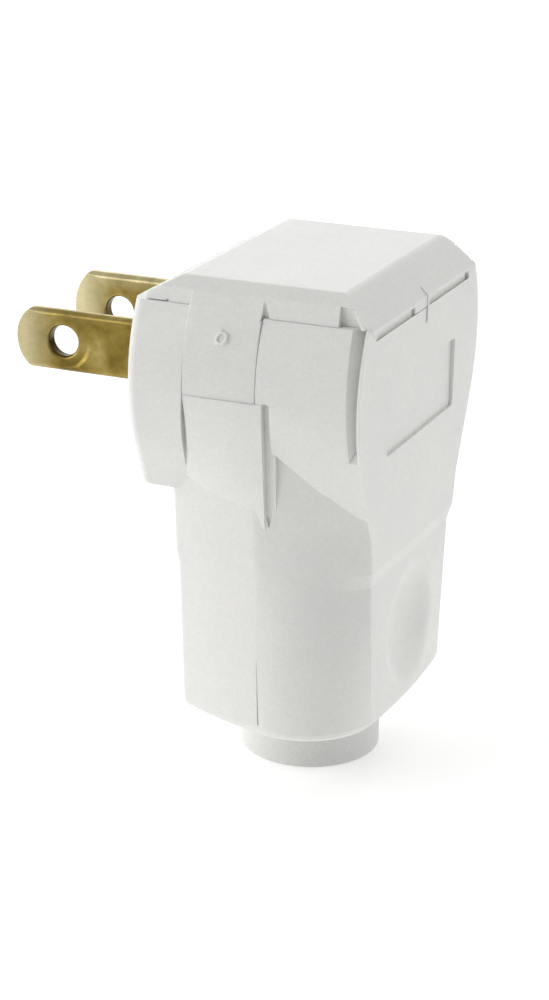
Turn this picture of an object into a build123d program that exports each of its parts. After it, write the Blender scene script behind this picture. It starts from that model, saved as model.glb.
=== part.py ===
"""Right-angle two-blade mains plug, rewireable, moulded in white thermoplastic.

Frame, millimetres: the origin is on the flat mating face, midway between the
two blades and level with their axis.  The blades point along -X, the plug's
back is at +X, the line blade is on the -Y side, and the cord leaves downward
along -Z through the round neck.
"""
import math
import os

from build123d import *

# --- driving dimensions -----------------------------------------------------
# head: a barrel lying along X, cut flat above
BARREL_Z = -0.2            # height of the barrel's axis
R_FLANGE = 16.75           # front flange
R_PANEL = 16.55            # side panels behind the flaps
R_BACK = 16.65             # rim of the back plate
FLANGE_T = 6.1             # flange thickness
FLANGE_FOOT = -11.3        # flat underside of the flange
FLANGE_EDGE = 1.1          # rounding of the flange's front edge
FRONT_WALL = 3.4           # thickness of the wall that holds the blades
X_BACK = 24.5              # outer back face at the top; it leans in below
X_BACK_STEP = 24.1         # outer back face at the column's step
X_RIM = 24.05              # front of the back plate's proud rim
X_LAP = 22.45              # front of the lid's back edge
X_SKIRT = 23.98            # front of the skirt that hangs from it
X_SLOT = 24.17             # floor of the slot under the skirt
WALL = 2.1                 # general wall thickness
R_CHAMBER = 14.2           # inside of the head
Y_CHAMBER = 12.6           # half width of the head's chamber between the fingers

# parting between body and lid
Z_PART = 7.85              # side parting plane over the flange
Z_PANEL = 7.4              # side parting plane over the panels
Z_BACK_RIM = 6.1           # top of the body's back plate
PART_GAP = 0.012           # seam between lid and body
SEAM_BEVEL = 0.03          # bevel of the edges along the seam
BROW_BEVEL = 0.06          # bevel of the fingers' top edges

# side windows, flaps and latch fingers
X_FLAP_F = 6.112           # flap's front edge
X_FLAP_B = 13.638          # flap's back edge
X_WINDOW_B = 13.65         # window's back edge
X_FINGER_B = 14.4          # finger's back edge
X_PANEL_F = 15.15          # panel's front edge beside the finger
PANEL_EDGE = ((14.0, -4.4), (15.3, -5.5), (19.6, -9.25), (22.9, -11.45), (24.3, -12.05))
Z_SILL = -0.5              # top of the finger, under the flap
FLAP_R, FLAP_C = 18.442, (1.661, -0.31)   # flap's outer face: radius and centre of its arc
FLAP_LEAN = ((-0.08, 0.05, 0.0), (-0.19, -0.25, -0.02))   # its front and back edge stand off that arc: foot, middle, head
PANEL_LIP = 0.12           # rounding of the panel's front edge beside the flap
R_FLAP_IN = 15.1           # flap's inner face
FLAP_EDGE = 0.08           # rounding of the flap's two upright edges
R_REBATE = 15.0            # seat behind the flap, around the window
WINDOW_LIP = 0.9           # width of that seat
SLIT_FOOT = -13.2          # where the slit behind the finger runs out
SLIT_Y = (15.95, 15.05)    # floor of that slit, above and below
LENS_Y = (16.15, 14.65)    # floor of the slit in front of the finger, above and below

# lower body: a tapering column with bowed sides
Z_COLUMN = -3.0            # its upper end is buried in the head
Z_STEP = -18.7             # small sloping step all round
STEP_H = 1.6
Z_FLOOR = -35.45           # underside of the column
X_MID = 13.55              # where the sides are widest
# front corner, half width at X_MID, back corner and bow of the back quarter,
# at the two ends of the upper and the lower stage
UPPER = (
    ((3.33, 13.75), 15.7, (24.55, 14.5), -1.0),
    ((3.54, 13.0), 15.55, (X_BACK_STEP + 0.03, 11.62), 0.9),
)
LOWER = (
    ((3.82, 12.9), 15.45, (23.78, 10.9), 1.4),
    ((3.97, 12.2), 15.55, (23.6, 9.6), 2.6),
)
BREAST = 0.3               # bow of the front quarter
BACK_BOW = (0.05, 0.45)    # bow of the lower stage's back, above and below
CORNER_R, RIDGE_R = 0.7, 3.0   # roundings of the column's corners and its side ridge
FOOT_EDGE = 0.9            # rounding of the column's lower edge

# cord neck
NECK_X = 13.0
NECK_R = 7.35
NECK_FOOT = -42.5
CORD_R = 4.6               # cord inlet bore
Z_CHAMBER_FLOOR = -31.0

# lid
Z_TOP = 10.3
LID_T = 1.6
X_LID_F = 1.35             # lid's front edge
LID_SIDE = ((13.0, Z_TOP), (14.1, 9.25), (14.58, Z_PART + PART_GAP))
FRONT_CHAMFER = ((4.5, Z_TOP), (1.5, 8.6))
BACK_CHAMFER = ((21.4, Z_TOP), (X_BACK, 7.2))
Z_SKIRT = 6.85             # lower edge of the lid's back skirt
SKIRT_END_Y = 12.9         # ends of the slot under the skirt
LID_EDGE = 1.1             # rounding of the lid's upper edges
TONGUE_Y = -0.9
TONGUE_W = 3.6
RIB_W, RIB_T, RIB_FOOT = 0.32, 0.1, 4.4
GATE_X, GATE_Z, GATE_R = 9.9, 5.35, 0.8

# back face details
PANEL_W, PANEL_H, PANEL_Z, PANEL_D = 18.6, 7.3, -3.0, 0.55
PANEL_Y = 0.4
DISH_R, DISH_Z, DISH_D = 6.0, -27.3, 1.7
DISH_EDGE = 2.5

# blades
BLADE_Y = 6.35             # half of the blade spacing
BLADE_T = 1.5
LINE_W = 6.35
NEUTRAL_W = 7.94
BLADE_TIP = -17.35
BLADE_SHOULDER = -15.5     # where the rounded nose begins
NOSE_CORNER = 0.6          # rounding of the nose's two corners
BLADE_HOLE_X = -11.95
BLADE_HOLE_R = 1.6
NOSE_START = -13.2         # the faces curve in towards the tip from here
NOSE_HALF = 0.42           # half thickness at the tip
BLADE_EDGE = 0.65          # rounding of the long edges
HOLE_EDGE = 0.35           # rounding of the hole's edges
COIN_R, COIN_TILT, COIN_D = 2.7, 3.6, 0.1   # shallow slanting dish around the hole
LUG_B = 14.0               # inner end of the blade
LUG_TOP = 6.6
SLOT_PLAY = 0.05

# terminal screws
SCREW_X, SCREW_Z = 9.9, 3.2
SCREW_R = 1.7
SCREW_HOLE_R = 1.75
SCREW_LEN = 4.6
HEAD_R, HEAD_T = 3.2, 1.8
DRIVE_W, DRIVE_D = 0.9, 0.9

os.makedirs("parts", exist_ok=True)


def bowed(p, q, bow):
    """Point that stands off the middle of the chord p-q by bow, outward."""
    dx, dy = q[0] - p[0], q[1] - p[1]
    n = math.hypot(dx, dy)
    return ((p[0] + q[0]) / 2 - dy / n * bow, (p[1] + q[1]) / 2 + dx / n * bow)


def column_outline(stage, back_bow=0):
    """Closed outline of the column, mirrored about the middle plane."""
    front, half, back, bow = stage
    wide = (X_MID, half)
    breast = bowed(front, wide, BREAST)
    belly = bowed(wide, back, bow)

    def s(p, sign):
        return (p[0], sign * p[1])

    Line(s(front, 1), s(front, -1))
    ThreePointArc(s(front, -1), s(breast, -1), s(wide, -1))
    ThreePointArc(s(wide, -1), s(belly, -1), s(back, -1))
    if back_bow:
        ThreePointArc(s(back, -1), (back[0] + back_bow, 0), s(back, 1))
    else:
        Line(s(back, -1), s(back, 1))
    ThreePointArc(s(back, 1), s(belly, 1), s(wide, 1))
    ThreePointArc(s(wide, 1), s(breast, 1), s(front, 1))


def inset(stage, d):
    """The same outline, drawn in by d."""
    front, half, back, bow = stage
    return ((front[0] + d, front[1] - d), half - d, (back[0] - d, back[1] - d), bow)


def head_outline(radius):
    """Head seen along X: a circle that runs out straight below the tangent points."""
    a = math.atan(0.415)
    y, z = radius * math.cos(a), BARREL_Z - radius * math.sin(a)
    foot = (y - (z + 14.0) * math.tan(a), -14.0)
    Line((-foot[0], foot[1]), foot)
    Line(foot, (y, z))
    ThreePointArc((y, z), (0, BARREL_Z + radius), (-y, z))
    Line((-y, z), (-foot[0], foot[1]))


# --- body: one moulding -----------------------------------------------------
# column, upper and lower stage
with BuildPart() as column:
    for z, stage, bow in (
        (Z_COLUMN, UPPER[0], 0.01), (Z_STEP + STEP_H / 2, UPPER[1], 0.01),
        (Z_STEP - STEP_H / 2, LOWER[0], BACK_BOW[0]), (Z_FLOOR + FOOT_EDGE, LOWER[1], BACK_BOW[1]),
        (Z_FLOOR + 0.5 * FOOT_EDGE, inset(LOWER[1], 0.13 * FOOT_EDGE), BACK_BOW[1]),
        (Z_FLOOR + 0.13 * FOOT_EDGE, inset(LOWER[1], 0.5 * FOOT_EDGE), BACK_BOW[1]),
        (Z_FLOOR, inset(LOWER[1], FOOT_EDGE), BACK_BOW[1]),
    ):
        with BuildSketch(Plane.XY.offset(z)) as outline:
            with BuildLine():
                column_outline(stage, bow)
            make_face()
            ridges = outline.vertices().filter_by(lambda v: abs(v.X - X_MID) < 0.1)
            fillet(ridges, RIDGE_R)
            corners = outline.vertices().filter_by(lambda v: abs(v.X - X_MID) > 4)
            fillet(corners, CORNER_R)
    loft(ruled=True)

# flange with its rounded front edge
with BuildPart() as flange:
    with BuildSketch(Plane.YZ):
        with BuildLine():
            head_outline(R_FLANGE)
        make_face()
        with Locations((0, (FLANGE_FOOT + Z_PART) / 2)):
            Rectangle(60, Z_PART - FLANGE_FOOT, mode=Mode.INTERSECT)
    extrude(amount=FLANGE_T)
    front_edges = flange.faces().sort_by(Axis.X)[0].edges()
    fillet(front_edges.filter_by(lambda e: e.center().Z < Z_PART - 0.5), FLANGE_EDGE)

# latch fingers under the flaps: flush with the flap above, curving in to run out
# along a slanting line on the column's front quarter below
FINGER_F = 4.5             # buried in the flange
FINGER_TOP_Y = (16.62, 16.75, 16.66)   # outer face at the top: front, middle, back
FINGER_FOOT_Y = (14.1, 14.9, 15.45)
FINGER_DROP = 9.3          # fall of the front end, FINGER_SLANT more at the back
FINGER_SLANT = 3.8
FINGER_STEPS = 6
with BuildPart() as finger:
    for i in range(FINGER_STEPS + 1):
        s = i / FINGER_STEPS
        tilt = math.atan2(s * FINGER_SLANT, X_FINGER_B - 6.2)
        k = 1 / math.cos(tilt)
        u_f, u_m, u_b = k * (FINGER_F - 6.2), k * (9.4 - 6.2), k * (X_FINGER_B - 6.2)
        y_f, y_m, y_b = [t - (t - y) * s**1.4 for t, y in zip(FINGER_TOP_Y, FINGER_FOOT_Y)]
        section = Plane(
            origin=(6.2, 0, Z_SILL - s * FINGER_DROP),
            x_dir=(math.cos(tilt), 0, -math.sin(tilt)),
            z_dir=(math.sin(tilt), 0, math.cos(tilt)),
        )
        with BuildSketch(section):
            with BuildLine():
                Polyline((u_b, -y_b), (u_b, -10.0), (u_f, -10.0), (u_f, -y_f))
                ThreePointArc((u_f, -y_f), (u_m, -y_m - 0.02), (u_b, -y_b))
            make_face()
    loft(ruled=True)
    brow = finger.faces().sort_by(Axis.Z)[-1].edges().sort_by(Axis.Y)[0]
    chamfer(brow, BROW_BEVEL)
    mirror(about=Plane.XZ)

# soft groove in front of the back plate's rim, running out below
GROOVE_Z = BARREL_Z - 0.7
GROOVE_R = R_PANEL - 1.05
GROOVE = ((0.12, 1.2), (-0.2, 0.5), (-0.45, 0.04), (-0.75, 0.45), (-1.15, 1.2), (-1.9, 2.2))   # its section
with BuildPart() as rim_groove:
    with BuildSketch(Plane.XZ):
        with BuildLine():
            Spline(*[(X_RIM + u, GROOVE_Z + GROOVE_R + h) for u, h in GROOVE])
            Polyline(
                (X_RIM + GROOVE[-1][0], GROOVE_Z + GROOVE_R + GROOVE[-1][1]), (X_RIM + GROOVE[-1][0], GROOVE_Z + GROOVE_R + 5),
                (X_RIM + GROOVE[0][0], GROOVE_Z + GROOVE_R + 5), (X_RIM + GROOVE[0][0], GROOVE_Z + GROOVE_R + GROOVE[0][1]),
            )
        make_face()
    revolve(axis=Axis((0, 0, GROOVE_Z), (1, 0, 0)))
    with BuildSketch(Plane.YZ.offset(X_RIM - 3)):
        with BuildLine():
            Polyline(
                (0, 25), (-25, 25), (-25, -10.0), (-15.9, -5.6), (-14.2, -2.4),
                (14.2, -2.4), (15.9, -5.6), (25, -10.0), (25, 25), close=True,
            )
        make_face()
    extrude(amount=6, mode=Mode.INTERSECT)

# slits beside the latch fingers: one behind each, one lens-shaped against the flange
with BuildPart() as slits:
    with BuildSketch(Plane.XZ.offset(40)):
        with BuildLine():
            Polyline(
                (X_FINGER_B, Z_SILL + 0.1), (X_FINGER_B + 0.05, -12.2), (X_FINGER_B + 0.35, SLIT_FOOT),
                (X_PANEL_F - 0.15, -12.2), (X_PANEL_F, Z_SILL + 0.1), close=True,
            )
        make_face()
    extrude(amount=-40)
    with BuildSketch(Plane.XZ.offset(40)):
        with BuildLine():
            ThreePointArc((FLANGE_T, -0.6), (FLANGE_T - 0.3, -4.6), (FLANGE_T - 0.5, -8.9))
            ThreePointArc((FLANGE_T - 0.5, -8.9), (FLANGE_T + 0.15, -4.6), (FLANGE_T, -0.6))
        make_face()
    extrude(amount=-40)
    # floors of the slits
    with BuildSketch(Plane.YZ.offset(FLANGE_T - 2)):
        with BuildLine():
            Polyline((-LENS_Y[0], 2), (-LENS_Y[0], Z_SILL), (-LENS_Y[1], -8.9), (-LENS_Y[1], -16), (0, -16), (0, 2), close=True)
        make_face()
    extrude(amount=4, mode=Mode.SUBTRACT)
    with BuildSketch(Plane.YZ.offset(X_FINGER_B - 2)):
        with BuildLine():
            Polyline((-SLIT_Y[0], 2), (-SLIT_Y[0], Z_SILL), (-SLIT_Y[1], SLIT_FOOT), (-SLIT_Y[1], -16), (0, -16), (0, 2), close=True)
        make_face()
    extrude(amount=4, mode=Mode.SUBTRACT)
    mirror(about=Plane.XZ)

# webs that carry the floors of the slits behind the fingers
with BuildPart() as slit_floor:
    with BuildSketch(Plane.YZ.offset(X_FINGER_B - 0.3)):
        with BuildLine():
            Polyline((-12.0, Z_SILL), (-SLIT_Y[0], Z_SILL), (-SLIT_Y[1], SLIT_FOOT), (-12.0, SLIT_FOOT), close=True)
        make_face()
    extrude(amount=X_PANEL_F - X_FINGER_B + 0.6)
    mirror(about=Plane.XZ)

# room for the flaps and the fingers, outside the seat around the window
with BuildPart() as side_room:
    with BuildSketch(Plane.XZ.offset(40)):
        with BuildLine():
            Polyline(
                (FLANGE_T, Z_PART + 5), (FLANGE_T, -14.5), (X_PANEL_F, -14.5),
                (X_PANEL_F, Z_SILL), (X_WINDOW_B, Z_SILL), (X_WINDOW_B, Z_PART + 5), close=True,
            )
        make_face()
    extrude(amount=-80)
    with BuildSketch(Plane.YZ):
        with Locations((0, BARREL_Z)):
            Circle(R_REBATE)
    extrude(amount=40, mode=Mode.SUBTRACT)

# rounding of the panels' front edges beside the flaps
with BuildPart() as panel_lip:
    with BuildSketch(Plane.XZ):
        with BuildLine():
            top = BARREL_Z + R_PANEL
            ThreePointArc(
                (X_WINDOW_B, top - PANEL_LIP), (X_WINDOW_B + 0.35 * PANEL_LIP, top - 0.35 * PANEL_LIP),
                (X_WINDOW_B + 1.3 * PANEL_LIP, top + 0.03),
            )
            Polyline(
                (X_WINDOW_B + 1.3 * PANEL_LIP, top + 0.03), (X_WINDOW_B + 1.3 * PANEL_LIP, top + 1),
                (X_WINDOW_B - 0.5, top + 1), (X_WINDOW_B - 0.5, top - PANEL_LIP), (X_WINDOW_B, top - PANEL_LIP),
            )
        make_face()
    revolve(axis=Axis((0, 0, BARREL_Z), (1, 0, 0)))

with BuildPart() as body:
    add(flange.part)
    # side panels behind the windows
    with BuildSketch(Plane.YZ.offset(FLANGE_T)):
        with BuildLine():
            head_outline(R_PANEL)
        make_face()
        with Locations((0, (-14.0 + Z_PANEL) / 2)):
            Rectangle(60, Z_PANEL + 14.0, mode=Mode.INTERSECT)
    extrude(amount=X_RIM - FLANGE_T)
    # bevel along the panel's seam, then the room for the flaps and the fingers
    seam = body.edges().filter_by(Axis.X).filter_by(lambda e: abs(e.center().Z - Z_PANEL) < 0.01 and e.center().X > FLANGE_T)
    chamfer(seam, SEAM_BEVEL)
    add(side_room.part, mode=Mode.SUBTRACT)
    add(panel_lip.part, mode=Mode.SUBTRACT)
    # slanting lower edge of the panels
    with BuildSketch(Plane.XZ.offset(40)):
        with BuildLine():
            Polyline(*PANEL_EDGE, (PANEL_EDGE[-1][0], -20), (PANEL_EDGE[0][0], -20), close=True)
        make_face()
    extrude(amount=-80, mode=Mode.SUBTRACT)
    # back plate with its proud rim
    with BuildSketch(Plane.YZ.offset(X_RIM)):
        with BuildLine():
            head_outline(R_BACK)
        make_face()
        with Locations((0, (-14.0 + Z_PART) / 2)):
            Rectangle(60, Z_PART + 14.0, mode=Mode.INTERSECT)
    extrude(amount=X_BACK - X_RIM)
    # step down to the back plate's top, where the lid's skirt sits; the corners
    # rise to the side parting, and the step's floor falls inward
    with BuildSketch(Plane.YZ.offset(X_SKIRT - PART_GAP)):
        with BuildLine():
            Polyline(
                (SKIRT_END_Y, Z_BACK_RIM), (-SKIRT_END_Y, Z_BACK_RIM), (-SKIRT_END_Y - 1.9, Z_PART - 0.05),
                (-20, Z_PART - 0.05), (-20, Z_PART + 5), (20, Z_PART + 5), (20, Z_PART - 0.05),
                (SKIRT_END_Y + 1.9, Z_PART - 0.05), close=True,
            )
        make_face()
    extrude(amount=8, mode=Mode.SUBTRACT)
    with BuildSketch(Plane.XZ.offset(SKIRT_END_Y)):
        with BuildLine():
            Polyline(
                (X_SKIRT - PART_GAP, Z_BACK_RIM - 0.3), (X_BACK + 0.1, Z_BACK_RIM),
                (X_BACK + 0.1, Z_BACK_RIM + 0.3), (X_SKIRT - PART_GAP, Z_BACK_RIM + 0.3), close=True,
            )
        make_face()
    extrude(amount=-2 * SKIRT_END_Y, mode=Mode.SUBTRACT)
    with BuildSketch(Plane.YZ.offset(X_SKIRT - 0.1)):
        with Locations((0, (Z_BACK_RIM - 0.4 + Z_SKIRT - 0.03) / 2)):
            Rectangle(2 * SKIRT_END_Y - 0.5, Z_SKIRT - 0.03 - Z_BACK_RIM + 0.4)
    extrude(amount=X_SLOT - X_SKIRT + 0.1)
    add(rim_groove.part, mode=Mode.SUBTRACT)
    add(column.part)
    # the back leans in towards the step
    with BuildSketch(Plane.XZ.offset(40)):
        with BuildLine():
            Polyline((X_BACK - 1.2, 8.4), (X_BACK, 7.2), (X_BACK_STEP, Z_STEP), (30, Z_STEP), (30, 8.4), close=True)
        make_face()
    extrude(amount=-80, mode=Mode.SUBTRACT)
    # fine mould line at the lower end of the side ridges
    with BuildSketch(Plane.XZ.offset(40)):
        with BuildLine():
            Polyline((X_MID + 0.02, -27.2), (X_MID + 0.26, -34.2), (X_MID + 0.4, -34.2), close=True)
        make_face()
    extrude(amount=-24.8, mode=Mode.SUBTRACT)
    with BuildSketch(Plane.XZ.offset(-40)):
        with BuildLine():
            Polyline((X_MID + 0.02, -27.2), (X_MID + 0.26, -34.2), (X_MID + 0.4, -34.2), close=True)
        make_face()
    extrude(amount=24.8, mode=Mode.SUBTRACT)
    # neck for the cord
    with BuildSketch(Plane.XY.offset(NECK_FOOT)):
        with Locations((NECK_X, 0)):
            Circle(NECK_R)
    extrude(amount=Z_FLOOR - NECK_FOOT + 2.0)
    fillet(body.faces().sort_by(Axis.Z)[0].edges(), 0.3)
    add(finger.part)
    add(slit_floor.part)
    add(slits.part, mode=Mode.SUBTRACT)
    # the windows themselves, inside their seats and open at the top
    with BuildSketch(Plane.XZ.offset(40)):
        with BuildLine():
            Polyline(
                (FLANGE_T + WINDOW_LIP, Z_PART + 5), (FLANGE_T + WINDOW_LIP, Z_SILL + WINDOW_LIP),
                (X_WINDOW_B - WINDOW_LIP, Z_SILL + WINDOW_LIP), (X_WINDOW_B - WINDOW_LIP, Z_PART + 5), close=True,
            )
        make_face()
    extrude(amount=-80, mode=Mode.SUBTRACT)
    # head chamber
    with BuildSketch(Plane.YZ.offset(FRONT_WALL)):
        with Locations((0, BARREL_Z)):
            Circle(R_CHAMBER)
        with Locations((0, 1.0)):
            Rectangle(2 * Y_CHAMBER, 20.0, mode=Mode.INTERSECT)
    extrude(amount=X_BACK - WALL - FRONT_WALL, mode=Mode.SUBTRACT)
    # column chamber, narrowing downward
    with BuildSketch(Plane.XY.offset(-8.5)):
        with Locations(((6.2 + 22.0) / 2, 0)):
            RectangleRounded(15.8, 23.6, 3.0)
    with BuildSketch(Plane.XY.offset(Z_CHAMBER_FLOOR)):
        with Locations(((6.6 + 20.9) / 2, 0)):
            RectangleRounded(14.3, 18.4, 3.0)
    loft(ruled=True, mode=Mode.SUBTRACT)
    # cord inlet
    with BuildSketch(Plane.XY.offset(NECK_FOOT)):
        with Locations((NECK_X, 0)):
            Circle(CORD_R)
    extrude(amount=Z_CHAMBER_FLOOR - NECK_FOOT + 1.0, mode=Mode.SUBTRACT)
    # barrier between the two poles
    with BuildSketch(Plane.XY.offset(-9.4)):
        with Locations(((FRONT_WALL - 0.4 + 16.0) / 2, 0)):
            Rectangle(16.0 - FRONT_WALL + 0.4, 1.2)
    extrude(amount=9.4 + 6.2)
    # shelves under the blades and stops behind them
    with BuildSketch(Plane.XY.offset(-9.4)):
        with Locations(((FRONT_WALL - 0.4 + 15.5) / 2, -BLADE_Y), ((FRONT_WALL - 0.4 + 15.5) / 2, BLADE_Y)):
            Rectangle(15.5 - FRONT_WALL + 0.4, 2.8)
    extrude(amount=9.4 + 2.0)
    for side, width in ((-1, LINE_W), (1, NEUTRAL_W)):
        # seat of the blade's inner end
        with BuildSketch(Plane.XY.offset(-width / 2 - SLOT_PLAY)):
            with Locations(((0.0 + LUG_B + SLOT_PLAY) / 2, side * BLADE_Y)):
                Rectangle(LUG_B + SLOT_PLAY, BLADE_T + 2 * SLOT_PLAY)
        extrude(amount=30, mode=Mode.SUBTRACT)
        # slot through the front wall, open at the top
        with BuildSketch(Plane.XY.offset(-width / 2 - SLOT_PLAY)):
            with Locations((0, side * BLADE_Y)):
                Rectangle(20, BLADE_T + 2 * SLOT_PLAY)
        extrude(amount=30, mode=Mode.SUBTRACT)
        # room beside the lug for the screw's head and point
        with BuildSketch(Plane.XZ.offset(-side * 2.0)):
            with Locations((SCREW_X, SCREW_Z)):
                Circle(HEAD_R + 0.6)
        extrude(amount=-side * 8.5, mode=Mode.SUBTRACT)
    # plain recessed panel on the back
    with BuildSketch(Plane.YZ.offset(X_BACK)):
        with Locations((PANEL_Y, PANEL_Z)):
            RectangleRounded(PANEL_W, PANEL_H, 0.5)
    extrude(amount=-PANEL_D, mode=Mode.SUBTRACT)
    # thumb dish
    dish_sphere = (DISH_R**2 + DISH_D**2) / (2 * DISH_D)
    with Locations((LOWER[1][2][0] + 0.3 - DISH_D + dish_sphere, 0, DISH_Z)):
        Sphere(dish_sphere, mode=Mode.SUBTRACT)
    brim = body.edges().filter_by(lambda e: abs(math.hypot((e @ 0.37).Y, (e @ 0.37).Z - DISH_Z) - DISH_R) < 1.0 and (e @ 0.37).X > 22.5)
    fillet(brim, DISH_EDGE)

body.part.label = "body"
export_step(body.part, "parts/body.step")

# --- lid: one moulding that lifts straight off ------------------------------
def on_flap(z):
    """Distance of the flap's outer face from the middle plane."""
    return math.sqrt(FLAP_R**2 - (z - FLAP_C[1])**2) - FLAP_C[0]


def inside_flap(z):
    return math.sqrt(R_FLAP_IN**2 - (z - BARREL_Z)**2)


with BuildPart() as flap:
    foot, head = Z_SILL + PART_GAP, 9.2
    for x, (low, mid, high) in zip((X_FLAP_F, X_FLAP_B), FLAP_LEAN):
        with BuildSketch(Plane.YZ.offset(x)):
            with BuildLine():
                ThreePointArc(
                    (-on_flap(foot) - low, foot), (-on_flap(5.0) - mid, 5.0), (-on_flap(head) - high, head),
                )
                Polyline((-on_flap(head) - high, head), (-13.2, head - 0.1), (-inside_flap(7.75), 7.75))
                ThreePointArc((-inside_flap(7.75), 7.75), (-inside_flap(4.0), 4.0), (-inside_flap(foot), foot))
                Line((-inside_flap(foot), foot), (-on_flap(foot) - low, foot))
            make_face()
    loft(ruled=True)
    upright = flap.edges().filter_by(lambda e: min(abs((e @ 0.5).X - X_FLAP_F), abs((e @ 0.5).X - X_FLAP_B)) < 0.01 and e.length > 8 and (e @ 0.5).Y < -15.5)
    fillet(upright, FLAP_EDGE)
    mirror(about=Plane.XZ)

# lower edge of the lid's sides over the panels, ending under the sloping back edge
with BuildPart() as lid_wall:
    with BuildSketch(Plane.YZ.offset(X_FLAP_B - 0.3)):
        with BuildLine():
            Polyline(
                (-12.2, 8.26), (-12.2, Z_PANEL + PART_GAP), (-14.64 + SEAM_BEVEL, Z_PANEL + PART_GAP),
                (-14.64, Z_PANEL + PART_GAP + SEAM_BEVEL), (-14.57, Z_PART + 0.05), (-14.4, 8.26), close=True,
            )
        make_face()
    extrude(amount=12)
    with BuildSketch(Plane.XZ.offset(40)):
        with BuildLine():
            Polyline((13, 7), (X_RIM - 0.03, 7), (X_RIM - 0.03, 7.64), (23.4, 8.27), (13, 8.27), close=True)
        make_face()
    extrude(amount=-80, mode=Mode.INTERSECT)
    mirror(about=Plane.XZ)

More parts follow.
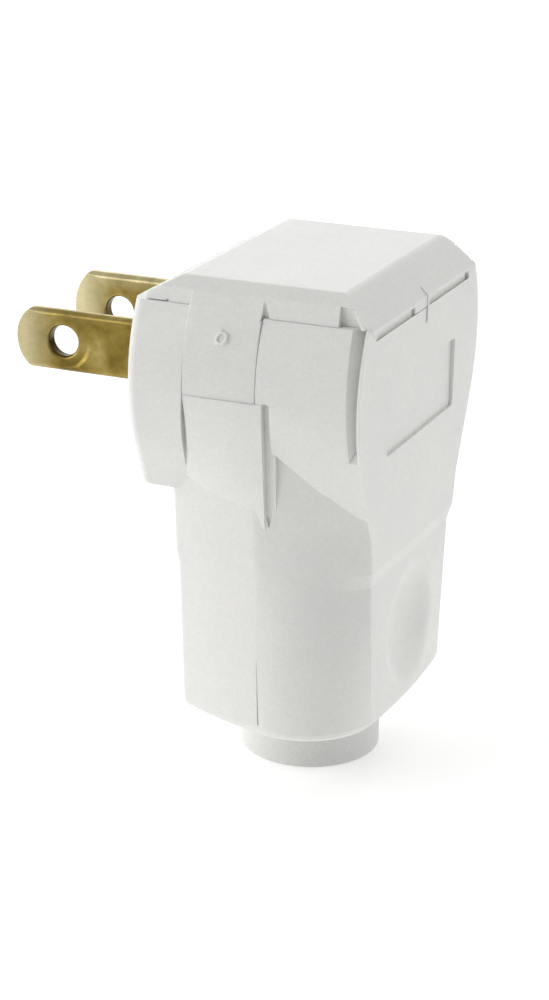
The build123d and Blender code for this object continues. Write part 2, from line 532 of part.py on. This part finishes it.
with BuildPart() as lid:
    with BuildSketch(Plane.YZ.offset(X_LID_F)):
        with BuildLine():
            Polyline(*LID_SIDE, *[(-y, z) for y, z in reversed(LID_SIDE)], close=True)
        make_face()
    extrude(amount=X_BACK - X_LID_F)
    chamfer(lid.edges().filter_by(Axis.X).group_by(Axis.Z)[0], SEAM_BEVEL)
    # back edge over the body's back wall
    with BuildSketch(Plane.YZ.offset(X_LAP)):
        with Locations((0, BARREL_Z)):
            Circle(R_BACK - 0.1)
        with Locations((0, (Z_PANEL + PART_GAP + 0.02 + 8.6) / 2)):
            Rectangle(60, 8.6 - Z_PANEL - PART_GAP - 0.02, mode=Mode.INTERSECT)
    extrude(amount=X_RIM - 0.03 - X_LAP)
    # skirt hanging from it, closed down on the body at its two ends
    with BuildSketch(Plane.YZ.offset(X_SKIRT)):
        with Locations((0, BARREL_Z)):
            Circle(R_BACK - 0.1)
        with BuildLine():
            Polyline(
                (SKIRT_END_Y - 0.1, Z_SKIRT), (-SKIRT_END_Y + 0.1, Z_SKIRT),
                (-SKIRT_END_Y - 0.05, Z_BACK_RIM + PART_GAP + 0.05), (-SKIRT_END_Y - 1.93, Z_PART + PART_GAP),
                (-20, Z_PART + PART_GAP), (-20, 8.6), (20, 8.6), (20, Z_PART + PART_GAP),
                (SKIRT_END_Y + 1.93, Z_PART + PART_GAP), (SKIRT_END_Y + 0.05, Z_BACK_RIM + PART_GAP + 0.05), close=True,
            )
        make_face(mode=Mode.INTERSECT)
    extrude(amount=X_BACK - X_SKIRT)
    # sloping front and back edges
    with BuildSketch(Plane.XZ.offset(40)):
        with BuildLine():
            Polyline(FRONT_CHAMFER[0], (FRONT_CHAMFER[0][0], 20), (-5, 20), (-5, FRONT_CHAMFER[1][1]), FRONT_CHAMFER[1], close=True)
        make_face()
        with BuildLine():
            Polyline(BACK_CHAMFER[0], (BACK_CHAMFER[0][0], 20), (40, 20), (40, BACK_CHAMFER[1][1]), BACK_CHAMFER[1], close=True)
        make_face()
    extrude(amount=-80, mode=Mode.SUBTRACT)
    # rounded upper edges
    crown = lid.faces().sort_by(Axis.Z)[-1]
    fillet(crown.edges(), LID_EDGE)
    # hollow underside
    with BuildSketch(Plane.XY.offset(Z_PART - 2.0)):
        with Locations(((FRONT_WALL + X_LAP + 0.3) / 2, 0)):
            RectangleRounded(X_LAP + 0.3 - FRONT_WALL, 2 * 11.2, 1.0)
    extrude(amount=Z_TOP - LID_T - Z_PART + 2.0, mode=Mode.SUBTRACT)
    # side walls reach lower over the panels, and the side flaps lower still
    add(lid_wall.part)
    add(flap.part)
    # gate mark on the near flap: a low uneven ring
    tilt = math.asin((GATE_Z - FLAP_C[1]) / FLAP_R)
    gate = Plane(
        origin=(GATE_X, -on_flap(GATE_Z) + 0.25 * math.cos(tilt), GATE_Z - 0.25 * math.sin(tilt)),
        x_dir=(1, 0, 0), z_dir=(0, -math.cos(tilt), math.sin(tilt)),
    )
    with BuildSketch(gate):
        Circle(GATE_R)
        with Locations((-0.28, -0.5), (0.42, 0.32), (-0.1, 0.55)):
            Circle(0.36)
    extrude(amount=0.42, taper=24)
    with BuildSketch(gate.offset(0.22)):
        Circle(0.26)
        with Locations((0.16, 0.12), (-0.08, -0.16)):
            Circle(0.22)
    extrude(amount=0.4, taper=-22, mode=Mode.SUBTRACT)
    # webs that close the blade slots
    for side, width in ((-1, LINE_W), (1, NEUTRAL_W)):
        with BuildSketch(Plane.XY.offset(width / 2 + 0.15)):
            with Locations(((0.4 + FRONT_WALL - 0.1) / 2 + 0.6, side * BLADE_Y)):
                Rectangle(FRONT_WALL - 0.5 - 0.8, BLADE_T - 0.1)
        extrude(amount=8.6 - width / 2 - 0.15)
    # locating lips inside the side panels
    with BuildSketch(Plane.XY.offset(6.4)):
        with Locations((18.3, -10.2), (18.3, 10.2)):
            Rectangle(7.0, 1.1)
    extrude(amount=2.8)
    # bridge across the back seam, and a fine rib at its far end
    with BuildSketch(Plane.XZ.offset(-TONGUE_Y - TONGUE_W / 2)):
        with BuildLine():
            Polyline(
                (X_BACK - 0.01, Z_BACK_RIM + PART_GAP), (X_BACK - 0.01, Z_SKIRT + 0.3),
                (X_SLOT + PART_GAP, Z_SKIRT + 0.3), (X_SLOT + PART_GAP, Z_BACK_RIM + PART_GAP), close=True,
            )
        make_face()
    extrude(amount=TONGUE_W)
    with BuildSketch(Plane.XZ.offset(-TONGUE_Y - TONGUE_W / 2)):
        with BuildLine():
            Polyline(
                (X_BACK + 0.01, RIB_FOOT), (X_BACK + RIB_T, RIB_FOOT + 0.3), (X_BACK + RIB_T, 7.24),
                (X_BACK - 0.7, 8.03), (X_BACK - 0.8, 7.9), (X_BACK - 0.3, 7.1),
                (X_BACK - 0.3, Z_BACK_RIM + 0.2), (X_BACK + 0.01, Z_BACK_RIM + 0.2), close=True,
            )
        make_face()
    extrude(amount=RIB_W)
    # relief notch above each flap's back edge
    with BuildSketch(Plane.XZ.offset(40)):
        with BuildLine():
            Polyline((X_FLAP_B - 0.12, 7.2), (X_FLAP_B + 0.15, 9.0), (X_FLAP_B + 0.8, 7.2), close=True)
        make_face()
    extrude(amount=-25.75, mode=Mode.SUBTRACT)
    with BuildSketch(Plane.XZ.offset(-40)):
        with BuildLine():
            Polyline((X_FLAP_B - 0.12, 7.2), (X_FLAP_B + 0.15, 9.0), (X_FLAP_B + 0.8, 7.2), close=True)
        make_face()
    extrude(amount=25.75, mode=Mode.SUBTRACT)
    # prising pockets at the two back corners
    with BuildSketch(Plane.XZ.offset(40)):
        with BuildLine():
            Polyline((21.3, 7.3), (21.3, 9.3), (22.55, 9.2), (23.7, 7.3), close=True)
        make_face()
    extrude(amount=-26.2, mode=Mode.SUBTRACT)
    with BuildSketch(Plane.XZ.offset(-40)):
        with BuildLine():
            Polyline((21.3, 7.3), (21.3, 9.3), (22.55, 9.2), (23.7, 7.3), close=True)
        make_face()
    extrude(amount=26.2, mode=Mode.SUBTRACT)
    # short prising slots at the front of the side seams
    for side in (-1, 1):
        with BuildSketch(Plane.XZ.offset(-side * 40)):
            with BuildLine():
                Polyline((1.2, 7.7), (1.2, 7.96), (3.5, 7.96), (3.5, 8.08), (3.75, 8.08), (3.75, 7.7), close=True)
            make_face()
        extrude(amount=side * 25.8, mode=Mode.SUBTRACT)

lid.part.label = "lid"
export_step(lid.part, "parts/lid.step")


# --- blades: stamped from flat brass ----------------------------------------
def blade_outline(width):
    h = width / 2
    Polyline(
        (BLADE_SHOULDER, h), (FRONT_WALL + 0.15, h), (FRONT_WALL + 0.15, LUG_TOP),
        (LUG_B, LUG_TOP), (LUG_B, -h), (BLADE_SHOULDER, -h),
    )
    ThreePointArc((BLADE_SHOULDER, -h), (BLADE_TIP, 0), (BLADE_SHOULDER, h))


def blade_thickness(side):
    """Plan of a blade: its two faces curve in towards the tip."""
    y, t, n = side * BLADE_Y, BLADE_T / 2, NOSE_HALF
    mid = (NOSE_START + BLADE_TIP) / 2 - 0.3
    Polyline((NOSE_START, y + t), (LUG_B, y + t), (LUG_B, y - t), (NOSE_START, y - t))
    ThreePointArc((NOSE_START, y - t), (mid, y - t + 0.26 * (t - n)), (BLADE_TIP - 0.1, y - n))
    Line((BLADE_TIP - 0.1, y - n), (BLADE_TIP - 0.1, y + n))
    ThreePointArc((BLADE_TIP - 0.1, y + n), (mid, y + t - 0.26 * (t - n)), (NOSE_START, y + t))


with BuildPart() as line_blade:
    # outer length, with rounded long edges
    with BuildSketch(Plane.YZ.offset(BLADE_TIP - 1)):
        with Locations((-BLADE_Y, 0)):
            RectangleRounded(BLADE_T, LINE_W, BLADE_EDGE)
    extrude(amount=FRONT_WALL + 0.5 - BLADE_TIP + 1)
    # inner lug
    with BuildSketch(Plane.XZ.offset(BLADE_Y - BLADE_T / 2)):
        with Locations(((FRONT_WALL + 0.15 + LUG_B) / 2, (LUG_TOP - LINE_W / 2) / 2)):
            Rectangle(LUG_B - FRONT_WALL - 0.15, LUG_TOP + LINE_W / 2)
    extrude(amount=BLADE_T)
    # rounded nose seen from the side, and its plan
    with BuildSketch(Plane.XZ.offset(BLADE_Y - BLADE_T / 2 - 1)) as nose:
        with BuildLine():
            blade_outline(LINE_W)
        make_face()
        fillet(nose.vertices().filter_by(lambda v: abs(v.X - BLADE_SHOULDER) < 0.01), NOSE_CORNER)
    extrude(amount=BLADE_T + 2, mode=Mode.INTERSECT)
    with BuildSketch(Plane.XY.offset(-10)):
        with BuildLine():
            blade_thickness(-1)
        make_face()
    extrude(amount=20, mode=Mode.INTERSECT)
    # slanting dish around the hole on the outer face
    dish = Plane(
        origin=(BLADE_HOLE_X, -BLADE_Y - BLADE_T / 2 + COIN_D, 0),
        z_dir=(math.sin(math.radians(COIN_TILT)), -math.cos(math.radians(COIN_TILT)), 0),
    )
    with BuildSketch(dish):
        Circle(COIN_R)
    extrude(amount=1.0, taper=-58, mode=Mode.SUBTRACT)
    with BuildSketch(Plane.XZ.offset(BLADE_Y + 5)):
        with Locations((BLADE_HOLE_X, 0)):
            Circle(BLADE_HOLE_R)
        with Locations((SCREW_X, SCREW_Z)):
            Circle(SCREW_HOLE_R)
    extrude(amount=-10, mode=Mode.SUBTRACT)
    mouth = line_blade.edges().filter_by(lambda e: abs((e @ 0.3).Z**2 + ((e @ 0.3).X - BLADE_HOLE_X)**2 - BLADE_HOLE_R**2) < 0.01 and abs(e.tangent_at(0.5).Y) < 0.2)
    fillet(mouth, HOLE_EDGE)

line_blade.part.label = "line_blade"
export_step(line_blade.part, "parts/line_blade.step")

with BuildPart() as neutral_blade:
    # outer length, with rounded long edges
    with BuildSketch(Plane.YZ.offset(BLADE_TIP - 1)):
        with Locations((BLADE_Y, 0)):
            RectangleRounded(BLADE_T, NEUTRAL_W, BLADE_EDGE)
    extrude(amount=FRONT_WALL + 0.5 - BLADE_TIP + 1)
    # inner lug
    with BuildSketch(Plane.XZ.offset(-BLADE_Y - BLADE_T / 2)):
        with Locations(((FRONT_WALL + 0.15 + LUG_B) / 2, (LUG_TOP - NEUTRAL_W / 2) / 2)):
            Rectangle(LUG_B - FRONT_WALL - 0.15, LUG_TOP + NEUTRAL_W / 2)
    extrude(amount=BLADE_T)
    # rounded nose seen from the side, and its plan
    with BuildSketch(Plane.XZ.offset(-BLADE_Y - BLADE_T / 2 - 1)) as nose:
        with BuildLine():
            blade_outline(NEUTRAL_W)
        make_face()
        fillet(nose.vertices().filter_by(lambda v: abs(v.X - BLADE_SHOULDER) < 0.01), NOSE_CORNER)
    extrude(amount=BLADE_T + 2, mode=Mode.INTERSECT)
    with BuildSketch(Plane.XY.offset(-10)):
        with BuildLine():
            blade_thickness(1)
        make_face()
    extrude(amount=20, mode=Mode.INTERSECT)
    # slanting dish around the hole on the outer face
    dish = Plane(
        origin=(BLADE_HOLE_X, BLADE_Y + BLADE_T / 2 - COIN_D, 0),
        z_dir=(math.sin(math.radians(COIN_TILT)), math.cos(math.radians(COIN_TILT)), 0),
    )
    with BuildSketch(dish):
        Circle(COIN_R)
    extrude(amount=1.0, taper=-58, mode=Mode.SUBTRACT)
    with BuildSketch(Plane.XZ.offset(-BLADE_Y - 5)):
        with Locations((BLADE_HOLE_X, 0)):
            Circle(BLADE_HOLE_R)
        with Locations((SCREW_X, SCREW_Z)):
            Circle(SCREW_HOLE_R)
    extrude(amount=10, mode=Mode.SUBTRACT)
    mouth = neutral_blade.edges().filter_by(lambda e: abs((e @ 0.3).Z**2 + ((e @ 0.3).X - BLADE_HOLE_X)**2 - BLADE_HOLE_R**2) < 0.01 and abs(e.tangent_at(0.5).Y) < 0.2)
    fillet(mouth, HOLE_EDGE)

neutral_blade.part.label = "neutral_blade"
export_step(neutral_blade.part, "parts/neutral_blade.step")

# --- terminal screws: binding heads facing the side windows -----------------
with BuildPart() as line_terminal_screw:
    with BuildSketch(Plane.XZ.offset(BLADE_Y + BLADE_T / 2)):
        with Locations((SCREW_X, SCREW_Z)):
            Circle(HEAD_R)
    extrude(amount=HEAD_T)
    fillet(line_terminal_screw.edges().filter_by(GeomType.CIRCLE).sort_by(Axis.Y)[0], 0.6)
    with BuildSketch(Plane.XZ.offset(BLADE_Y + BLADE_T / 2)):
        with Locations((SCREW_X, SCREW_Z)):
            Circle(SCREW_R)
    extrude(amount=-SCREW_LEN)
    chamfer(line_terminal_screw.edges().filter_by(GeomType.CIRCLE).sort_by(Axis.Y)[-1], 0.4)
    with BuildSketch(Plane.XZ.offset(BLADE_Y + BLADE_T / 2 + HEAD_T)):
        with Locations((SCREW_X, SCREW_Z)):
            Rectangle(DRIVE_W, 4 * HEAD_R)
    extrude(amount=-DRIVE_D, mode=Mode.SUBTRACT)

line_terminal_screw.part.label = "line_terminal_screw"
export_step(line_terminal_screw.part, "parts/line_terminal_screw.step")

with BuildPart() as neutral_terminal_screw:
    with BuildSketch(Plane.XZ.offset(-BLADE_Y - BLADE_T / 2)):
        with Locations((SCREW_X, SCREW_Z)):
            Circle(HEAD_R)
    extrude(amount=-HEAD_T)
    fillet(neutral_terminal_screw.edges().filter_by(GeomType.CIRCLE).sort_by(Axis.Y)[-1], 0.6)
    with BuildSketch(Plane.XZ.offset(-BLADE_Y - BLADE_T / 2)):
        with Locations((SCREW_X, SCREW_Z)):
            Circle(SCREW_R)
    extrude(amount=SCREW_LEN)
    chamfer(neutral_terminal_screw.edges().filter_by(GeomType.CIRCLE).sort_by(Axis.Y)[0], 0.4)
    with BuildSketch(Plane.XZ.offset(-BLADE_Y - BLADE_T / 2 - HEAD_T)):
        with Locations((SCREW_X, SCREW_Z)):
            Rectangle(DRIVE_W, 4 * HEAD_R)
    extrude(amount=DRIVE_D, mode=Mode.SUBTRACT)

neutral_terminal_screw.part.label = "neutral_terminal_screw"
export_step(neutral_terminal_screw.part, "parts/neutral_terminal_screw.step")
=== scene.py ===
import math

import bmesh
import bpy
from mathutils import Matrix, Vector


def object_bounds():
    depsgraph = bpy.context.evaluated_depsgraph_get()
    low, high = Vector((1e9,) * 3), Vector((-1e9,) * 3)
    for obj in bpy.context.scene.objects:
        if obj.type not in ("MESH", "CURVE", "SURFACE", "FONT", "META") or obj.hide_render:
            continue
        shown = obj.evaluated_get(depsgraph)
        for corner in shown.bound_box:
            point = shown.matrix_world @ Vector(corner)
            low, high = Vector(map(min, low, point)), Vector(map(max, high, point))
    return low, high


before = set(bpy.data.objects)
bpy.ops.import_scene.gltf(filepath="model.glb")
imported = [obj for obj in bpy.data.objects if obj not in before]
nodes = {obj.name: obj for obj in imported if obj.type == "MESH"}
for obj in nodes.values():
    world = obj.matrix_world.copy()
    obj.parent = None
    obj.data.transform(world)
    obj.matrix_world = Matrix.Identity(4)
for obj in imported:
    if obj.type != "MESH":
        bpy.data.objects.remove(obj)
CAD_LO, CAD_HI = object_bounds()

scene = bpy.context.scene
MM = 0.001


# --- small helpers for node materials ---------------------------------------
class Mat:
    """A node material under construction."""

    def __init__(self, name):
        self.m = bpy.data.materials.new(name)
        self.m.use_nodes = True
        self.t = self.m.node_tree
        self.t.nodes.clear()
        self.out = self.t.nodes.new("ShaderNodeOutputMaterial")

    def node(self, kind, **inputs):
        n = self.t.nodes.new(kind)
        for key, value in inputs.items():
            if hasattr(n, key) and key not in n.inputs:
                setattr(n, key, value)
        return n

    def link(self, a, b):
        self.t.links.new(a, b)

    def coords(self, scale=(1, 1, 1), rot=(0, 0, 0)):
        tc = self.t.nodes.new("ShaderNodeTexCoord")
        mp = self.t.nodes.new("ShaderNodeMapping")
        mp.inputs["Scale"].default_value = scale
        mp.inputs["Rotation"].default_value = rot
        self.link(tc.outputs["Object"], mp.inputs["Vector"])
        return mp.outputs["Vector"]

    def noise(self, vec, scale, detail=3.0, rough=0.55, dist=0.0):
        n = self.t.nodes.new("ShaderNodeTexNoise")
        n.inputs["Scale"].default_value = scale
        n.inputs["Detail"].default_value = detail
        n.inputs["Roughness"].default_value = rough
        n.inputs["Distortion"].default_value = dist
        self.link(vec, n.inputs["Vector"])
        return n.outputs["Fac"]

    def ramp(self, fac, stops, interp="LINEAR"):
        r = self.t.nodes.new("ShaderNodeValToRGB")
        r.color_ramp.interpolation = interp
        el = r.color_ramp.elements
        while len(el) > 1:
            el.remove(el[-1])
        for i, (pos, col) in enumerate(stops):
            e = el[0] if i == 0 else el.new(pos)
            e.position = pos
            e.color = (*col, 1.0) if len(col) == 3 else col
        self.link(fac, r.inputs["Fac"])
        return r.outputs["Color"]

    def mapr(self, fac, a, b, lo=0.0, hi=1.0):
        n = self.t.nodes.new("ShaderNodeMapRange")
        n.inputs["From Min"].default_value = lo
        n.inputs["From Max"].default_value = hi
        n.inputs["To Min"].default_value = a
        n.inputs["To Max"].default_value = b
        self.link(fac, n.inputs["Value"])
        return n.outputs["Result"]

    def math(self, op, a, b=None):
        n = self.t.nodes.new("ShaderNodeMath")
        n.operation = op
        for i, v in enumerate((a, b)):
            if v is None:
                continue
            if isinstance(v, (int, float)):
                n.inputs[i].default_value = v
            else:
                self.link(v, n.inputs[i])
        return n.outputs["Value"]

    def mix(self, fac, a, b, mode="MIX"):
        n = self.t.nodes.new("ShaderNodeMix")
        n.data_type = "RGBA"
        n.blend_type = mode
        for sock, v in ((n.inputs[0], fac), (n.inputs[6], a), (n.inputs[7], b)):
            if isinstance(v, (int, float)):
                sock.default_value = v
            elif isinstance(v, tuple):
                sock.default_value = (*v, 1.0) if len(v) == 3 else v
            else:
                self.link(v, sock)
        return n.outputs[2]

    def bump(self, height, strength, distance, normal=None):
        n = self.t.nodes.new("ShaderNodeBump")
        n.inputs["Strength"].default_value = strength
        n.inputs["Distance"].default_value = distance
        self.link(height, n.inputs["Height"])
        if normal is not None:
            self.link(normal, n.inputs["Normal"])
        return n.outputs["Normal"]

    def bevel(self, radius, samples):
        n = self.t.nodes.new("ShaderNodeBevel")
        n.samples = samples
        n.inputs["Radius"].default_value = radius
        return n.outputs["Normal"]

    def bsdf(self, **inputs):
        n = self.t.nodes.new("ShaderNodeBsdfPrincipled")
        for key, value in inputs.items():
            key = key.replace("_", " ")
            if isinstance(value, (int, float, tuple)):
                n.inputs[key].default_value = value
            else:
                self.link(value, n.inputs[key])
        self.link(n.outputs["BSDF"], self.out.inputs["Surface"])
        return n


# --- materials --------------------------------------------------------------
def shell_material(name):
    """White, slightly translucent thermoplastic with a fine moulded grain and painted shade on the
    lower neck.
    """
    m = Mat(name)
    v = m.coords()
    cloud = m.noise(v, 130.0, 3.0, 0.55)
    mottle = m.noise(v, 1500.0, 3.0, 0.6)
    grain = m.noise(v, 3400.0, 2.0, 0.6)
    soft = m.noise(v, 520.0, 3.0, 0.5)
    base = m.ramp(cloud, [(0.32, (0.786, 0.789, 0.768)), (0.68, (0.818, 0.812, 0.782))])
    speck = m.mix(m.mapr(mottle, 0.0, 0.22, 0.36, 0.70), base, (0.715, 0.712, 0.690))
    grained = m.mix(m.mapr(grain, 0.0, 0.34, 0.40, 0.72), speck, (0.69, 0.69, 0.668))
    sep = m.t.nodes.new("ShaderNodeSeparateXYZ")
    m.link(v, sep.inputs["Vector"])
    # painted shade: the neck is darkened towards its bottom and towards +X, away from the key light,
    # by mixing in grey
    neck_shade_mask = m.math("MULTIPLY", m.mapr(sep.outputs["Z"], 0.62, 0.0, -0.0376, -0.0354), m.mapr(sep.outputs["X"], 0.05, 1.0, 0.0070, 0.0165))
    painted_neck_shade = m.math("MULTIPLY", neck_shade_mask, m.mapr(grain, 0.75, 1.0, 0.35, 0.65))
    col = m.mix(painted_neck_shade, grained, (0.55, 0.56, 0.545))
    edge = m.bevel(0.00006, 4)
    n1 = m.bump(soft, 0.22, 0.00008, edge)
    n2 = m.bump(grain, 0.55, 0.00004, n1)
    rough = m.mapr(mottle, 0.36, 0.50, 0.3, 0.7)
    m.bsdf(Base_Color=col, Roughness=rough, Normal=n2, IOR=1.49, Subsurface_Weight=0.35,
           Subsurface_Radius=(1.0, 0.96, 0.90), Subsurface_Scale=0.0006)
    return m.m


def brass_material(name, base, dull, bright, top_highlight_level, shine):
    """Rolled brass with a dull patina and fine lengthwise drawing lines; the nose and the top edge
    are painted bright as highlights, and the bore is painted dark as shade.
    """
    m = Mat(name)
    v = m.coords()
    vl = m.coords(scale=(0.10, 1.0, 1.0))
    patina = m.noise(v, 330.0, 4.0, 0.55, 0.3)
    fine = m.noise(v, 1700.0, 3.0, 0.6)
    lines = m.noise(vl, 4200.0, 2.0, 0.5)
    sep = m.t.nodes.new("ShaderNodeSeparateXYZ")
    m.link(v, sep.inputs["Vector"])
    # painted highlight: the nose is lightened towards the tip, broken up by the drawing lines
    nose = m.mapr(sep.outputs["X"], shine, 0.0, -0.0164, -0.0128)
    nose_highlight = m.math("MULTIPLY", nose, m.mapr(lines, 0.88, 1.0, 0.35, 0.65))
    # painted highlight: a light band along the blade's top edge
    top_edge_highlight = m.math("MULTIPLY", m.mapr(sep.outputs["Z"], 0.0, top_highlight_level, 0.0022, 0.0036), m.mapr(patina, 0.45, 1.0, 0.35, 0.65))
    # painted shade: the bore and the inner part of the hole's rounded mouth are darkened
    away = m.t.nodes.new("ShaderNodeVectorMath")
    away.operation = "DISTANCE"
    away.inputs[1].default_value = HOLE
    flat = m.t.nodes.new("ShaderNodeCombineXYZ")
    m.link(sep.outputs["X"], flat.inputs["X"])
    m.link(sep.outputs["Z"], flat.inputs["Z"])
    m.link(flat.outputs["Vector"], away.inputs[0])
    painted_bore_shade = m.mapr(away.outputs["Value"], 0.85, 0.0, 0.00163, 0.00180)
    c1 = m.ramp(patina, [(0.30, dull), (0.52, base), (0.76, bright)])
    c2 = m.mix(m.mapr(fine, 0.0, 0.40, 0.48, 0.80), c1, dull)
    c3 = m.mix(m.math("MAXIMUM", nose_highlight, top_edge_highlight), c2, HIGHLIGHT_PAINT)
    col = m.mix(painted_bore_shade, c3, BORE_SHADE_TONE)
    rough = m.mapr(patina, 0.40, 0.27, 0.3, 0.7)
    n1 = m.bump(lines, 0.06, 0.00002, m.bevel(0.0001, 4))
    n2 = m.bump(fine, 0.14, 0.00003, n1)
    m.bsdf(Base_Color=col, Metallic=1.0, Roughness=rough, Normal=n2)
    return m.m


def screw_material(name, base):
    m = Mat(name)
    v = m.coords()
    fine = m.noise(v, 1500.0, 3.0, 0.6)
    col = m.ramp(fine, [(0.3, tuple(0.7 * c for c in base)), (0.7, base)])
    m.bsdf(Base_Color=col, Metallic=1.0, Roughness=m.mapr(fine, 0.35, 0.22, 0.3, 0.7), Normal=m.bump(fine, 0.1, 0.00003))
    return m.m


def dress(obj, mat):
    obj.data.materials.clear()
    obj.data.materials.append(mat)


dress(nodes["body"], shell_material("shell_body"))
dress(nodes["lid"], shell_material("shell_lid"))
BRASS = (0.315, 0.232, 0.055)
DULL = (0.175, 0.124, 0.026)
BRIGHT = (0.50, 0.40, 0.145)
# painted highlight colour for the nose and the top edge
HIGHLIGHT_PAINT = (0.74, 0.66, 0.40)
# painted shade colour for the blade's hole
BORE_SHADE_TONE = (0.05, 0.036, 0.012)
HOLE = (-0.01195, 0.0, 0.0)
# last two numbers: strength of the painted top-edge highlight and of the painted nose highlight
dress(nodes["line_blade"], brass_material("blade_line", BRASS, DULL, BRIGHT, 0.15, 0.75))
dress(nodes["neutral_blade"], brass_material("blade_neutral", BRASS, DULL, BRIGHT, 0.85, 1.0))
dress(nodes["line_terminal_screw"], screw_material("screw_line", (0.72, 0.56, 0.26)))
dress(nodes["neutral_terminal_screw"], screw_material("screw_neutral", (0.70, 0.69, 0.66)))

# --- stage ------------------------------------------------------------------
TABLE = 0.30               # glow of the light table under the plug
bm = bmesh.new()
bmesh.ops.create_grid(bm, x_segments=2, y_segments=2, size=4.0)
me = bpy.data.meshes.new("floor")
bm.to_mesh(me)
bm.free()
floor = bpy.data.objects.new("floor", me)
floor.location = (0, 0, CAD_LO.z)
scene.collection.objects.link(floor)
fm = Mat("floor_lightbox")
fv = fm.coords()
fcol = fm.ramp(fm.noise(fv, 30.0, 4.0, 0.6), [(0.3, (0.90, 0.90, 0.90)), (0.7, (0.92, 0.92, 0.92))])
fsep = fm.t.nodes.new("ShaderNodeSeparateXYZ")
fm.link(fv, fsep.inputs["Vector"])
table = fm.math(
    "MULTIPLY",
    fm.mapr(fsep.outputs["Y"], 0.0, TABLE, -0.115, -0.065),
    fm.mapr(fsep.outputs["X"], 1.0, 0.0, 0.060, 0.110),
)
fm.bsdf(Base_Color=fcol, Roughness=0.9, Emission_Color=(1.0, 1.0, 1.0, 1.0), Emission_Strength=table)
dress(floor, fm.m)

world = bpy.data.worlds.new("studio")
scene.world = world
world.use_nodes = True
bg = world.node_tree.nodes["Background"]
bg.inputs["Color"].default_value = (1.0, 1.0, 1.0, 1.0)
# darker room towards the viewer's right hand
wt = world.node_tree
wc = wt.nodes.new("ShaderNodeTexCoord")
wd = wt.nodes.new("ShaderNodeVectorMath")
wd.operation = "DOT_PRODUCT"
wd.inputs[1].default_value = (0.50, -0.86, 0.0)
wt.links.new(wc.outputs["Generated"], wd.inputs[0])
wr = wt.nodes.new("ShaderNodeMapRange")
wr.inputs["From Min"].default_value = -0.2
wr.inputs["From Max"].default_value = 0.8
wr.inputs["To Min"].default_value = 0.56
wr.inputs["To Max"].default_value = 0.35
wt.links.new(wd.outputs["Value"], wr.inputs["Value"])
wt.links.new(wr.outputs["Result"], bg.inputs["Strength"])


def area(name, loc, target, size, level, color=(1, 1, 1)):
    """Soft box; level is the light it brings to a white card that faces it at the target."""
    d = bpy.data.lights.new(name, "AREA")
    d.shape = "RECTANGLE"
    d.size, d.size_y = size
    d.energy = level * math.pi**2 * (Vector(target) - Vector(loc)).length_squared
    d.color = color
    o = bpy.data.objects.new(name, d)
    o.location = loc
    o.rotation_mode = "QUATERNION"
    o.rotation_quaternion = (Vector(target) - Vector(loc)).to_track_quat("-Z", "Y")
    o.visible_camera = False
    scene.collection.objects.link(o)
    return o


MID = (0.008, 0.0, -0.014)
area("key_left", (-0.60, -0.04, 0.14), MID, (0.45, 0.28), 0.27)
area("key_front", (-0.46, -0.40, 0.16), MID, (0.30, 0.24), 0.15)
area("rim_right", (0.55, 0.35, 0.12), MID, (0.40, 0.25), 0.20)
area("top", (0.02, 0.02, 0.62), MID, (0.5, 0.5), 0.14)
area("backdrop", (-0.30, 0.72, 0.26), MID, (1.1, 0.5), 0.35)
area("fill", (-0.06, -0.12, 0.075), (0.008, -0.015, 0.002), (0.08, 0.06), 0.12)

# --- camera -----------------------------------------------------------------
AZ, EL, ROLL = math.radians(23.463), math.radians(19.94), math.radians(0.551)
LOOK = Vector((8.658, 0.0, -16.304)) * MM
DIST = 247.177 * MM
FOCAL_PX, LONG_PX = 2391.04, 1000.0
back = Vector((math.sin(AZ) * math.cos(EL), -math.cos(AZ) * math.cos(EL), math.sin(EL)))
right = Vector((math.cos(AZ), math.sin(AZ), 0.0))
up = back.cross(right)
r2 = right * math.cos(ROLL) + up * math.sin(ROLL)
u2 = -right * math.sin(ROLL) + up * math.cos(ROLL)
cam_data = bpy.data.cameras.new("camera")
cam_data.sensor_fit = "AUTO"
cam_data.sensor_width = 36.0
cam_data.lens = FOCAL_PX * 36.0 / LONG_PX
cam_data.clip_start, cam_data.clip_end = 0.01, 20.0
cam = bpy.data.objects.new("camera", cam_data)
rot = Matrix((r2, u2, back)).transposed().to_4x4()
cam.matrix_world = Matrix.Translation(LOOK + back * DIST) @ rot
scene.collection.objects.link(cam)
scene.camera = cam

scene.view_settings.view_transform = "Standard"
scene.view_settings.look = "None"

# --- view layer update ------------------------------------------------------
bpy.context.view_layer.update()
